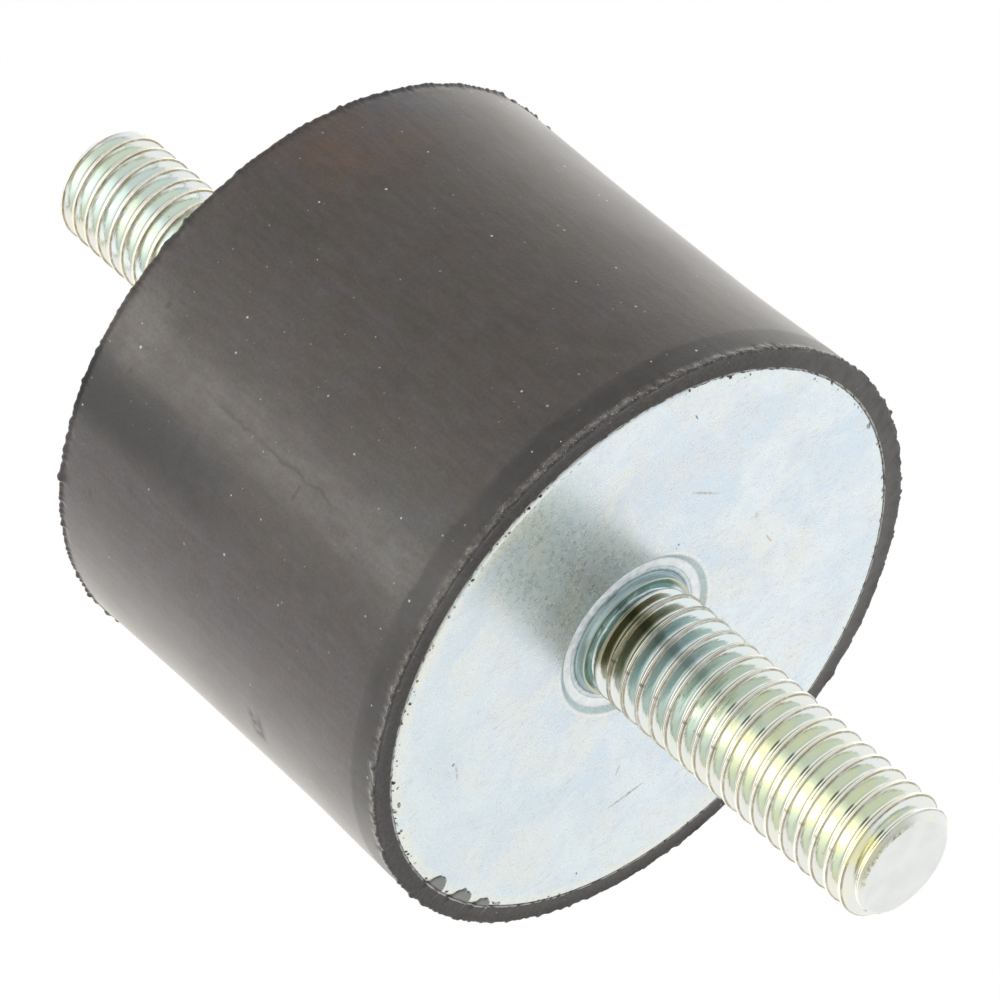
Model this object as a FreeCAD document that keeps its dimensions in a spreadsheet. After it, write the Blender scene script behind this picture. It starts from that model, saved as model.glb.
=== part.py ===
import FreeCAD, Part
import math
import os
from dataclasses import dataclass

import Sketcher

# A cylindrical rubber mount with a staked stud at each end, in millimetres.
# +Z runs along the studs, and z = 0 is the plane of the lower plate's seating land.

SIZES = {
    "body_height": 30.4,
    "plate_diameter": 37.6,
    "plate_thickness": 2.0,
    "plate_edge_round": 0.4,
    "land_width": 2.4,
    "dish_depth": 0.9,
    "ring_width": 1.45,
    "ring_wall_run": 0.4,
    "ring_depth": 0.3,
    "ring_round": 0.5,
    "rim_cover": 1.2,
    "rim_setback": 0.15,
    "flash_width": 0.15,
    "flash_thickness": 0.3,
    "flare_rise": 0.25,
    "flare_length": 6.0,
    "thread_diameter": 8.0,
    "stud_length": 22.4,
    "tip_bevel": 1.0,
    "neck_step": 0.2,
    "neck_height": 0.55,
    "head_overhang": 2.15,
    "head_thickness": 2.4,
    "head_edge_round": 0.5,
}


@dataclass(frozen=True)
class Length:
    """A length in millimetres beside the sheet expression that gives it."""

    value: float
    text: str

    def __add__(self, other):
        return Length(self.value + other.value, f"({self.text} + {other.text})")

    def __sub__(self, other):
        return Length(self.value - other.value, f"({self.text} - {other.text})")

    def __neg__(self):
        return Length(-self.value, f"(-{self.text})")

    def half(self):
        return Length(self.value / 2, f"({self.text} / 2)")


ZERO = Length(0.0, "0")


def size(name):
    """The driving dimension of that name, as it stands in the sheet."""
    return Length(SIZES[name], f"Sizes.{name}")


# Radii, and depths inward from the plane of a seating land, that several pieces share
PLATE_RADIUS = size("plate_diameter").half()
LAND_RADIUS = PLATE_RADIUS - size("land_width")
THREAD_RADIUS = size("thread_diameter").half()
NECK_RADIUS = THREAD_RADIUS + size("neck_step")
RING_RADIUS = NECK_RADIUS + size("ring_width")
HEAD_RADIUS = NECK_RADIUS + size("head_overhang")
RING_FLOOR_DEPTH = size("dish_depth") + size("ring_depth")
NECK_TOP_DEPTH = RING_FLOOR_DEPTH - size("neck_height")
HEAD_SEAT_DEPTH = size("dish_depth") + size("plate_thickness")
HEAD_END_DEPTH = HEAD_SEAT_DEPTH + size("head_thickness")


def make_sheet(doc):
    """The spreadsheet of driving dimensions, one named row each."""
    sheet = doc.addObject("Spreadsheet::Sheet", "Sizes")
    for row, (name, value) in enumerate(SIZES.items(), start=1):
        sheet.set(f"A{row}", name)
        sheet.set(f"B{row}", str(value))
        sheet.setAlias(f"B{row}", name)
    doc.recompute()
    return sheet


def origin_part(body, role):
    """The plane or axis of the body's own origin that has this role."""
    return next(item for item in body.Origin.OriginFeatures if item.Role == role)


def smooth_arc(free_end, joint, direction):
    """The short arc, drawn anticlockwise, whose end at the joint lies along the direction."""
    normal = FreeCAD.Vector(-direction.y, direction.x, 0).normalize()
    chord = free_end - joint
    offset = chord.Length ** 2 / (2 * normal.dot(chord))
    centre = joint + normal * offset
    ends = [math.atan2(end.y - centre.y, end.x - centre.x) for end in (free_end, joint)]
    if (ends[1] - ends[0]) % math.tau > math.pi:
        ends.reverse()
    circle = Part.Circle(centre, FreeCAD.Vector(0, 0, 1), abs(offset))
    return Part.ArcOfCircle(circle, ends[0], ends[1])


def hold(sketch, name, kind, axis, edge, end, length):
    """Holds one end of an edge at a signed distance from the origin, or on an axis at zero."""
    if length == ZERO:
        sketch.addConstraint(Sketcher.Constraint("PointOnObject", edge, end, axis))
        return
    row = sketch.addConstraint(Sketcher.Constraint(kind, -1, 1, edge, end, length.value))
    sketch.renameConstraint(row, name)
    sketch.setExpression(f"Constraints.{name}", length.text)


def draw_section(body, name, corners, arcs):
    """A closed half section in the XZ plane, with each corner held by its own sizes.

    corners are (radius, height) pairs of Length in order round the section, and an
    edge has the number of the corner that it starts from. arcs maps the number of each
    curved edge to the upright or level neighbour that it runs smoothly into.
    """
    sketch = body.newObject("Sketcher::SketchObject", name)
    sketch.AttachmentSupport = (origin_part(body, "XZ_Plane"), [""])
    sketch.MapMode = "FlatFace"
    count = len(corners)
    points = [FreeCAD.Vector(radius.value, height.value, 0) for radius, height in corners]
    starts = []
    for edge in range(count):
        start, end = points[edge], points[(edge + 1) % count]
        if edge in arcs:
            smooth = arcs[edge]
            direction = points[(smooth + 1) % count] - points[smooth]
            joint, free_end = (start, end) if smooth < edge else (end, start)
            sketch.addGeometry(smooth_arc(free_end, joint, direction), False)
        else:
            sketch.addGeometry(Part.LineSegment(start, end), False)
        drawn = sketch.Geometry[edge]
        forward = drawn.StartPoint.distanceToPoint(start) < drawn.EndPoint.distanceToPoint(start)
        starts.append(1 if forward else 2)
    for edge in range(count):
        after = (edge + 1) % count
        sketch.addConstraint(
            Sketcher.Constraint("Coincident", edge, 3 - starts[edge], after, starts[after])
        )
    for edge, smooth in arcs.items():
        level = corners[smooth][1] == corners[(smooth + 1) % count][1]
        joint_end = starts[edge] if smooth < edge else 3 - starts[edge]
        sketch.addConstraint(
            Sketcher.Constraint("Vertical" if level else "Horizontal", edge, 3, edge, joint_end)
        )
    for corner, (radius, height) in enumerate(corners):
        hold(sketch, f"radius_{corner}", "DistanceX", -2, corner, starts[corner], radius)
        hold(sketch, f"height_{corner}", "DistanceY", -1, corner, starts[corner], height)
    return sketch


def turn_section(body, name, sketch, kind="Revolution"):
    """One turn of a section about Z, which adds a solid or, as a Groove, cuts one away."""
    turned = body.newObject(f"PartDesign::{kind}", name)
    turned.Profile = (sketch, [""])
    turned.ReferenceAxis = (sketch, ["V_Axis"])
    turned.Angle = 360.0
    return turned


def round_edge(body, name, solid, place, round_size):
    """Rounds the circular edge of a turned solid at this radius and height."""
    solid.Document.recompute()
    radius, height = place
    found = [
        f"Edge{number}"
        for number, edge in enumerate(solid.Shape.Edges, start=1)
        if isinstance(edge.Curve, Part.Circle)
        and math.isclose(edge.Curve.Radius, radius.value, abs_tol=1e-6)
        and math.isclose(edge.Curve.Center.z, height.value, abs_tol=1e-6)
    ]
    rounded = body.newObject("PartDesign::Fillet", name)
    rounded.Base = (solid, found)
    rounded.setExpression("Radius", round_size.text)
    return rounded


def new_body(doc, label):
    """An empty body with its label."""
    body = doc.addObject("PartDesign::Body", label)
    body.Label = label
    return body


def place_end(body, upper):
    """Puts an end piece on top of the mount, or upside down at its foot."""
    if upper:
        body.setExpression("Placement.Base.z", "Sizes.body_height")
    else:
        turn = FreeCAD.Rotation(FreeCAD.Vector(1, 0, 0), 180)
        body.Placement = FreeCAD.Placement(FreeCAD.Vector(0, 0, 0), turn)


def make_plate(doc, label, upper):
    """A steel disc, dished inside a flat land, with a ring coined round the stud's hole."""
    body = new_body(doc, label)
    rim_round = size("plate_edge_round")
    corners = [
        (NECK_RADIUS, -RING_FLOOR_DEPTH),
        (RING_RADIUS - size("ring_wall_run"), -RING_FLOOR_DEPTH),
        (RING_RADIUS, -size("dish_depth")),
        (LAND_RADIUS, ZERO),
        (PLATE_RADIUS - rim_round, ZERO),
        (PLATE_RADIUS, -rim_round),
        (PLATE_RADIUS, -size("plate_thickness")),
        (LAND_RADIUS, -size("plate_thickness")),
        (HEAD_RADIUS, -HEAD_SEAT_DEPTH),
        (NECK_RADIUS, -HEAD_SEAT_DEPTH),
    ]
    sketch = draw_section(body, "PlateSection", corners, {4: 5})
    turned = turn_section(body, "PlateTurned", sketch)
    ring_edge = (RING_RADIUS, -size("dish_depth"))
    round_edge(body, "RingRound", turned, ring_edge, size("ring_round"))
    place_end(body, upper)
    return body


def make_stud(doc, label, upper):
    """A headed stud: round head behind the plate, neck through its hole, bevelled tip."""
    body = new_body(doc, label)
    head_round = size("head_edge_round")
    tip = size("stud_length")
    corners = [
        (ZERO, -HEAD_END_DEPTH),
        (HEAD_RADIUS - head_round, -HEAD_END_DEPTH),
        (HEAD_RADIUS, head_round - HEAD_END_DEPTH),
        (HEAD_RADIUS, -HEAD_SEAT_DEPTH),
        (NECK_RADIUS, -HEAD_SEAT_DEPTH),
        (NECK_RADIUS, -(NECK_TOP_DEPTH + size("neck_step"))),
        (THREAD_RADIUS, -NECK_TOP_DEPTH),
        (THREAD_RADIUS, tip - size("tip_bevel")),
        (THREAD_RADIUS - size("tip_bevel"), tip),
        (ZERO, tip),
    ]
    sketch = draw_section(body, "StudSection", corners, {1: 2})
    turn_section(body, "StudTurned", sketch)
    place_end(body, upper)
    return body


def make_rubber(doc, label):
    """The moulded body: flared rims with flash lips, and pockets for plates and heads.

    The upper half is turned, its pockets are grooved into it and it is mirrored in the
    mid plane. The pockets follow the sizes of the plate and of the stud's head, so both
    stay seated in the rubber.
    """
    body = new_body(doc, label)
    middle = size("body_height").half()
    face = middle - size("rim_setback")
    lip_foot = face - size("flash_thickness")
    plate_back = middle - size("plate_thickness")
    head_back = middle - HEAD_END_DEPTH
    rim_radius = PLATE_RADIUS + size("rim_cover")
    flash_radius = rim_radius + size("flash_width")
    waist_radius = rim_radius - size("flare_rise")
    head_round = size("head_edge_round")
    outside = [
        (ZERO, ZERO),
        (waist_radius, ZERO),
        (waist_radius, face - size("flare_length")),
        (rim_radius, lip_foot),
        (flash_radius, lip_foot),
        (flash_radius, face),
        (ZERO, face),
    ]
    plate_pocket = [
        (HEAD_RADIUS, middle - HEAD_SEAT_DEPTH),
        (LAND_RADIUS, plate_back),
        (PLATE_RADIUS, plate_back),
        (PLATE_RADIUS, face),
        (HEAD_RADIUS, face),
    ]
    head_pocket = [
        (ZERO, head_back),
        (HEAD_RADIUS - head_round, head_back),
        (HEAD_RADIUS, head_back + head_round),
        (HEAD_RADIUS, face),
        (ZERO, face),
    ]
    outside_sketch = draw_section(body, "OutsideSection", outside, {2: 1})
    features = [turn_section(body, "RubberHalf", outside_sketch)]
    plate_sketch = draw_section(body, "PlatePocketSection", plate_pocket, {})
    features.append(turn_section(body, "PlatePocket", plate_sketch, "Groove"))
    head_sketch = draw_section(body, "HeadPocketSection", head_pocket, {1: 2})
    features.append(turn_section(body, "HeadPocket", head_sketch, "Groove"))
    whole = body.newObject("PartDesign::Mirrored", "RubberMirrored")
    whole.Originals = features
    whole.MirrorPlane = (origin_part(body, "XY_Plane"), [""])
    body.Tip = whole
    body.setExpression("Placement.Base.z", "Sizes.body_height / 2")
    return body


def check(doc, bodies):
    """Stops on a failed object, a bad solid, an empty cut or a mirror that added nothing."""
    for item in doc.Objects:
        if "Invalid" in item.State or "Error" in item.State:
            raise RuntimeError(f"{item.Name} failed: {item.State}")
    for body in bodies:
        shape = body.Shape
        if shape.isNull() or not shape.isValid() or len(shape.Solids) != 1:
            raise RuntimeError(f"{body.Label} is not one valid solid")
    names = ("RubberHalf", "PlatePocket", "HeadPocket", "RubberMirrored")
    turned, plated, headed, whole = (doc.getObject(name).Shape.Volume for name in names)
    if not turned > plated > headed:
        raise RuntimeError("a pocket cut nothing out of the rubber")
    if abs(whole / headed - 2) > 1e-6:
        raise RuntimeError("the mirrored half did not double the rubber")


def main():
    doc = FreeCAD.newDocument("BobbinMount")
    make_sheet(doc)
    bodies = [make_rubber(doc, "rubber_body")]
    for side, upper in (("lower", False), ("upper", True)):
        bodies.append(make_plate(doc, f"{side}_plate", upper))
        bodies.append(make_stud(doc, f"{side}_stud", upper))
    doc.recompute()
    check(doc, bodies)
    os.makedirs("parts", exist_ok=True)
    for body in bodies:
        body.Shape.exportStep(f"parts/{body.Label}.step")
        print(f"{body.Label}: {body.Shape.Volume:.1f} mm3, {len(body.Shape.Faces)} faces")


main()
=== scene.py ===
"""A cylindrical rubber mount with a dished plate and a threaded stud at each end.

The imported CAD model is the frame. Every piece is in metres, in the same place as the CAD
solid it stands for. +Z runs along the studs, and z = 0 is the plane of the lower plate's
seating land. Sizes in the classes are in millimetres. Angles of the finishes are in
degrees round the axis, from +Y towards -X.
"""

import logging
import math
from dataclasses import dataclass, field, replace
from enum import Enum

import bmesh
import bpy
import numpy as np
from mathutils import Matrix, Vector, noise


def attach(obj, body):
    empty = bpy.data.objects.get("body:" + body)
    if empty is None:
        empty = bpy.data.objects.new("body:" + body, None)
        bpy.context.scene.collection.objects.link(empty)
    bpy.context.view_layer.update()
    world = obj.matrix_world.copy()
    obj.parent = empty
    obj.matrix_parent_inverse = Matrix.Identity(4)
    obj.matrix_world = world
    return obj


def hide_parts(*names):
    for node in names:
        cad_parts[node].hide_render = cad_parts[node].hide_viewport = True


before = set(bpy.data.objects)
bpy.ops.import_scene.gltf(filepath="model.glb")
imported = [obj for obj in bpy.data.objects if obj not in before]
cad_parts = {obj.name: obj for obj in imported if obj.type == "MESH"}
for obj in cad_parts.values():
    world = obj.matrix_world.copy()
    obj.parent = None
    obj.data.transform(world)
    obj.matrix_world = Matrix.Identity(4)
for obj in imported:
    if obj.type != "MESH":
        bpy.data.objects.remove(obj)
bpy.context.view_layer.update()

MM = 0.001
BODY_HEIGHT = 30.4
FULL_TURN = 2 * math.pi
ORIGIN = (0.0, 0.0, 0.0)
WHITE = (1.0, 1.0, 1.0)
CLEAR_WHITE = (1.0, 1.0, 1.0, 1.0)
SOCKET_KINDS = {1: "NodeSocketFloat", 3: "NodeSocketVector", 4: "NodeSocketColor"}

Point = tuple[float, float]
Triple = tuple[float, float, float]
log = logging.getLogger("mount")


class End(Enum):
    """The two ends of the mount, with the name that their pieces carry."""

    UPPER = "upper"
    LOWER = "lower"


def unselect_all() -> None:
    """Leaves nothing selected, so that an operator acts on the new piece alone."""
    bpy.ops.object.select_all(action="DESELECT")


def turned_over(piece: bpy.types.Object, name: str) -> bpy.types.Object:
    """Copies a piece of the upper end to the lower end, as a half turn about X brings it.

    Args:
        piece: The finished upper piece.
        name: The copy's name.

    Returns:
        The copy, with its own mesh and its place in that mesh.
    """
    copy = piece.copy()
    copy.data = piece.data.copy()
    copy.name = copy.data.name = name
    bpy.context.scene.collection.objects.link(copy)
    lift = Matrix.Translation((0, 0, BODY_HEIGHT * MM))
    copy.data.transform(lift @ Matrix.Rotation(math.pi, 4, "X"))
    return copy


def stand_for(piece: bpy.types.Object, node: str, material: bpy.types.Material) -> None:
    """Dresses a piece, hangs it under the root body and hides the CAD node that it replaces.

    Args:
        piece: The finished piece.
        node: The CAD node that it replaces.
        material: Its finish.
    """
    piece.data.materials.clear()
    piece.data.materials.append(material)
    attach(piece, "root")
    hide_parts(node)


class Lathe:
    """Draws half sections as by hand and turns them about Z."""

    @staticmethod
    def half_section(name: str, points: list[Point]) -> bpy.types.Object:
        """Draws a chain of edges in the XZ plane.

        Args:
            name: The new piece's name.
            points: Radius and height of each corner.

        Returns:
            The piece, in edit mode, with its last corner selected.
        """
        unselect_all()
        bpy.ops.mesh.primitive_plane_add(size=MM, location=(0, 0, 0))
        piece = bpy.context.object
        piece.name = piece.data.name = name
        bpy.ops.object.mode_set(mode="EDIT")
        bpy.ops.mesh.select_mode(type="VERT")
        bpy.ops.mesh.select_all(action="SELECT")
        bpy.ops.mesh.merge(type="CENTER")
        radius, height = points[0]
        bpy.ops.transform.translate(value=(radius * MM, 0, height * MM))
        for (r0, z0), (r1, z1) in zip(points, points[1:]):
            step = ((r1 - r0) * MM, 0, (z1 - z0) * MM)
            bpy.ops.mesh.extrude_region_move(TRANSFORM_OT_translate={"value": step})
        return piece

    @staticmethod
    def close_shell() -> None:
        """Merges what coincides in the piece being edited, and turns its faces outwards."""
        bpy.ops.mesh.select_all(action="SELECT")
        bpy.ops.mesh.remove_doubles(threshold=1e-6)
        bpy.ops.mesh.normals_make_consistent(inside=False)
        bpy.ops.object.mode_set(mode="OBJECT")

    @classmethod
    def sweep(cls, piece: bpy.types.Object, steps: int, turns: int = 1, rise: float = 0.0) -> None:
        """Turns the drawn half section about Z, merges what meets and shades it smoothly.

        Args:
            piece: The half section, in edit mode.
            steps: The number of steps in a full turn.
            turns: How many turns it makes.
            rise: How far it climbs in each turn.
        """
        bpy.ops.object.mode_set(mode="OBJECT")
        screw = piece.modifiers.new("sweep", "SCREW")
        screw.axis = "Z"
        screw.angle = FULL_TURN
        screw.screw_offset = rise * MM
        screw.iterations = turns
        screw.steps = screw.render_steps = steps
        unselect_all()
        piece.select_set(True)
        bpy.context.view_layer.objects.active = piece
        bpy.ops.object.modifier_apply(modifier=screw.name)
        bpy.ops.object.mode_set(mode="EDIT")
        cls.close_shell()
        bpy.ops.object.shade_smooth()

    @staticmethod
    def draw_loop(points: list[Point]) -> None:
        """Extrudes the selected round loop of the piece being edited from ring to ring.

        Args:
            points: Radius and height of each next ring. Radius 0 closes it.
        """
        bpy.ops.mesh.remove_doubles(threshold=2e-6)
        for radius, height in points:
            bpy.ops.mesh.extrude_region_move()
            mesh = bmesh.from_edit_mesh(bpy.context.object.data)
            for corner in (v for v in mesh.verts if v.select):
                x, y, _ = corner.co
                ratio = radius * MM / math.hypot(x, y)
                corner.co = (x * ratio, y * ratio, height * MM)
            bmesh.update_edit_mesh(bpy.context.object.data)
            if radius == 0:
                bpy.ops.mesh.merge(type="CENTER")


def arc(centre: Point, radius: float, start: float, end: float, count: int) -> list[Point]:
    """Points along an arc in the half section.

    Args:
        centre: Radius and height of the arc's centre.
        radius: The arc's own radius.
        start: Angle of the first point in degrees, 0 outwards and 90 upwards.
        end: Angle of the last point in degrees.
        count: The number of points.

    Returns:
        Radius and height of each point.
    """
    angles = [math.radians(start + (end - start) * i / (count - 1)) for i in range(count)]
    return [(centre[0] + radius * math.cos(a), centre[1] + radius * math.sin(a)) for a in angles]


def flipped(points: list[Point]) -> list[Point]:
    """Points with their heights turned into depths, or back."""
    return [(r, -z) for r, z in points]


def coordinates(piece: bpy.types.Object) -> np.ndarray:
    """The piece's corners in millimetres, one row each."""
    flat = np.empty(len(piece.data.vertices) * 3)
    piece.data.vertices.foreach_get("co", flat)
    return flat.reshape(-1, 3) / MM


def set_coordinates(piece: bpy.types.Object, corners: np.ndarray) -> None:
    """Moves the piece's corners to these places, in millimetres."""
    piece.data.vertices.foreach_set("co", (corners * MM).ravel())
    piece.data.update()


def ripple(angle: float, reach: float, wavelength: float, layer: float) -> float:
    """Seeded unevenness round a circle, which meets itself after a full turn.

    Args:
        angle: Place on the circle in radians.
        reach: The circle's radius.
        wavelength: Size of the unevenness.
        layer: Picks one of many independent courses.

    Returns:
        A value from about -1 to 1.
    """
    scale = reach / wavelength
    return noise.noise(Vector((math.cos(angle) * scale, math.sin(angle) * scale, layer)))


@dataclass(frozen=True)
class Signal:
    """A number, vector or colour that changes over a surface, and the sums done with it."""

    sketch: "Sketch"
    socket: bpy.types.NodeSocket

    def __add__(self, other: object) -> "Signal":
        """The sum."""
        return self.sketch.math("ADD", self, other)

    def __sub__(self, other: object) -> "Signal":
        """The difference."""
        return self.sketch.math("SUBTRACT", self, other)

    def __rsub__(self, other: float) -> "Signal":
        """What it leaves of a plain number."""
        return self.sketch.math("SUBTRACT", other, self)

    def __mul__(self, other: object) -> "Signal":
        """The product. For two masks that is where both hold."""
        return self.sketch.math("MULTIPLY", self, other)

    def __truediv__(self, other: object) -> "Signal":
        """The ratio."""
        return self.sketch.math("DIVIDE", self, other)

    def __rtruediv__(self, other: float) -> "Signal":
        """The ratio of a plain number to it."""
        return self.sketch.math("DIVIDE", other, self)

    def __pow__(self, other: float) -> "Signal":
        """The power."""
        return self.sketch.math("POWER", self, other)

    def __abs__(self) -> "Signal":
        """The distance from nought."""
        return self.sketch.math("ABSOLUTE", self)

    def larger(self, other: object) -> "Signal":
        """The larger of two values."""
        return self.sketch.math("MAXIMUM", self, other)

    def grey(self) -> "Signal":
        """The grey of this brightness."""
        return self.sketch.join(self, self, self)

    def fade(self, low: float, high: float, start: float = 0.0, end: float = 1.0) -> "Signal":
        """A soft step.

        Args:
            low: Where the step begins.
            high: Where it ends. It may be the smaller of the two.
            start: The result at the beginning.
            end: The result at the end.

        Returns:
            The stepped value.
        """
        if low > high:
            low, high, start, end = high, low, end, start
        feeds = dict(enumerate((self, low, high, start, end)))
        return self.sketch.make("ShaderNodeMapRange", feeds, interpolation_type="SMOOTHSTEP")

    def band(self, centre: float, reach: float, soft: float) -> "Signal":
        """A mask that is 1 near the centre and fades out over the soft width beyond reach."""
        return abs(self - centre).fade(reach, reach + soft, 1.0, 0.0)


class Sketch:
    """Places and joins the nodes of one material, world or group."""

    def __init__(self, tree: bpy.types.NodeTree) -> None:
        """Keeps the tree that the nodes go into."""
        self.tree = tree

    def feed(self, socket: bpy.types.NodeSocket, value: object) -> None:
        """Joins a socket to another, or gives it a plain value.

        Args:
            socket: The socket to fill.
            value: A signal, a socket, a number, a triple or a colour.
        """
        if isinstance(value, Signal):
            value = value.socket
        if isinstance(value, bpy.types.NodeSocket):
            self.tree.links.new(value, socket)
        elif socket.type == "RGBA" and len(value) == 3:
            socket.default_value = (*value, 1.0)
        else:
            socket.default_value = value

    def fill(self, node: bpy.types.Node, feeds: dict[int | str, object]) -> None:
        """Feeds a node's inputs, by name or number."""
        for key, value in feeds.items():
            self.feed(node.inputs[key], value)

    def add(self, kind: str, feeds: dict[int | str, object], **settings: object) -> bpy.types.Node:
        """Adds a node.

        Args:
            kind: The node's type.
            feeds: What goes into its inputs, by name or number.
            settings: Its own settings by name.

        Returns:
            The node.
        """
        node = self.tree.nodes.new(kind)
        for name, value in settings.items():
            setattr(node, name, value)
        self.fill(node, feeds)
        return node

    def make(self, kind: str, feeds: dict[int | str, object], out: int | str = 0,
             **settings: object) -> Signal:
        """Adds a node, as add does, and gives the output that is meant."""
        return Signal(self, self.add(kind, feeds, **settings).outputs[out])

    def outputs(self, kind: str, feeds: dict[int | str, object], **settings: object) -> dict[str, Signal]:
        """Adds a node, as add does, and gives all its outputs by name."""
        node = self.add(kind, feeds, **settings)
        return {socket.name: Signal(self, socket) for socket in node.outputs}

    def group(self, group: bpy.types.NodeTree, **feeds: object) -> dict[str, Signal]:
        """Places a shared group, fed by name, and gives its outputs by name."""
        return self.outputs("ShaderNodeGroup", feeds, node_tree=group)

    def end_group(self, outputs: dict[str, Signal]) -> bpy.types.NodeTree:
        """Ends the group that is being drawn, with its outputs by name."""
        self.add("NodeGroupOutput", outputs)
        return self.tree

    def rays(self) -> dict[str, Signal]:
        """What is known of the ray that asks, by name."""
        return self.outputs("ShaderNodeLightPath", {})

    def math(self, operation: str, *values: object) -> Signal:
        """One step of arithmetic on numbers."""
        return self.make("ShaderNodeMath", dict(enumerate(values)), operation=operation)

    def vector(self, operation: str, *values: object, out: int = 0) -> Signal:
        """One step of arithmetic on vectors. Output 1 is a number."""
        return self.make("ShaderNodeVectorMath", dict(enumerate(values)), out, operation=operation)

    def turned(self, vector: Signal, angle: object) -> Signal:
        """A vector turned about Z by an angle in radians."""
        return self.make("ShaderNodeVectorRotate", {"Vector": vector, "Angle": angle}, rotation_type="Z_AXIS")

    def join(self, x: object, y: object, z: object) -> Signal:
        """A vector from three numbers."""
        return self.make("ShaderNodeCombineXYZ", {0: x, 1: y, 2: z})

    def split(self, vector: Signal) -> list[Signal]:
        """The three numbers of a vector."""
        return list(self.outputs("ShaderNodeSeparateXYZ", {0: vector}).values())

    def mix(self, amount: object, a: object, b: object, blend: str = "MIX") -> Signal:
        """Lays one colour over another.

        Args:
            amount: How much of the second shows.
            a: The first colour.
            b: The second colour.
            blend: The way they mix.

        Returns:
            The colour.
        """
        feeds = {0: amount, 6: a, 7: b}
        return self.make("ShaderNodeMix", feeds, 2, data_type="RGBA", blend_type=blend, clamp_factor=True)

    def product(self, a: object, b: object) -> Signal:
        """One colour seen through another."""
        return self.mix(1.0, a, b, "MULTIPLY")

    def layered(self, colour: Signal, layers: list[tuple[Signal, object]]) -> Signal:
        """Lays tints over a colour in turn, each with its mask."""
        for amount, tint in layers:
            colour = self.mix(amount, colour, tint)
        return colour

    def noise(self, position: object, size: object, detail: float = 2.0, rough: float = 0.5,
              twist: float = 0.0) -> Signal:
        """Cloudy noise.

        Args:
            position: Where it is read, in millimetres.
            size: The size of its clouds in millimetres.
            detail: How many finer layers it has.
            rough: How strong these are.
            twist: How far it is distorted.

        Returns:
            A value around 0.5.
        """
        return self.make("ShaderNodeTexNoise", {"Vector": position, "Scale": 1 / size, "Detail": detail,
                                                "Roughness": rough, "Distortion": twist})

    def bump(self, distance: float, height: Signal) -> Signal:
        """The normal of a relief, by the metres that a height of 1 stands for."""
        return self.make("ShaderNodeBump", {"Strength": 1.0, "Distance": distance, "Height": height})


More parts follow.
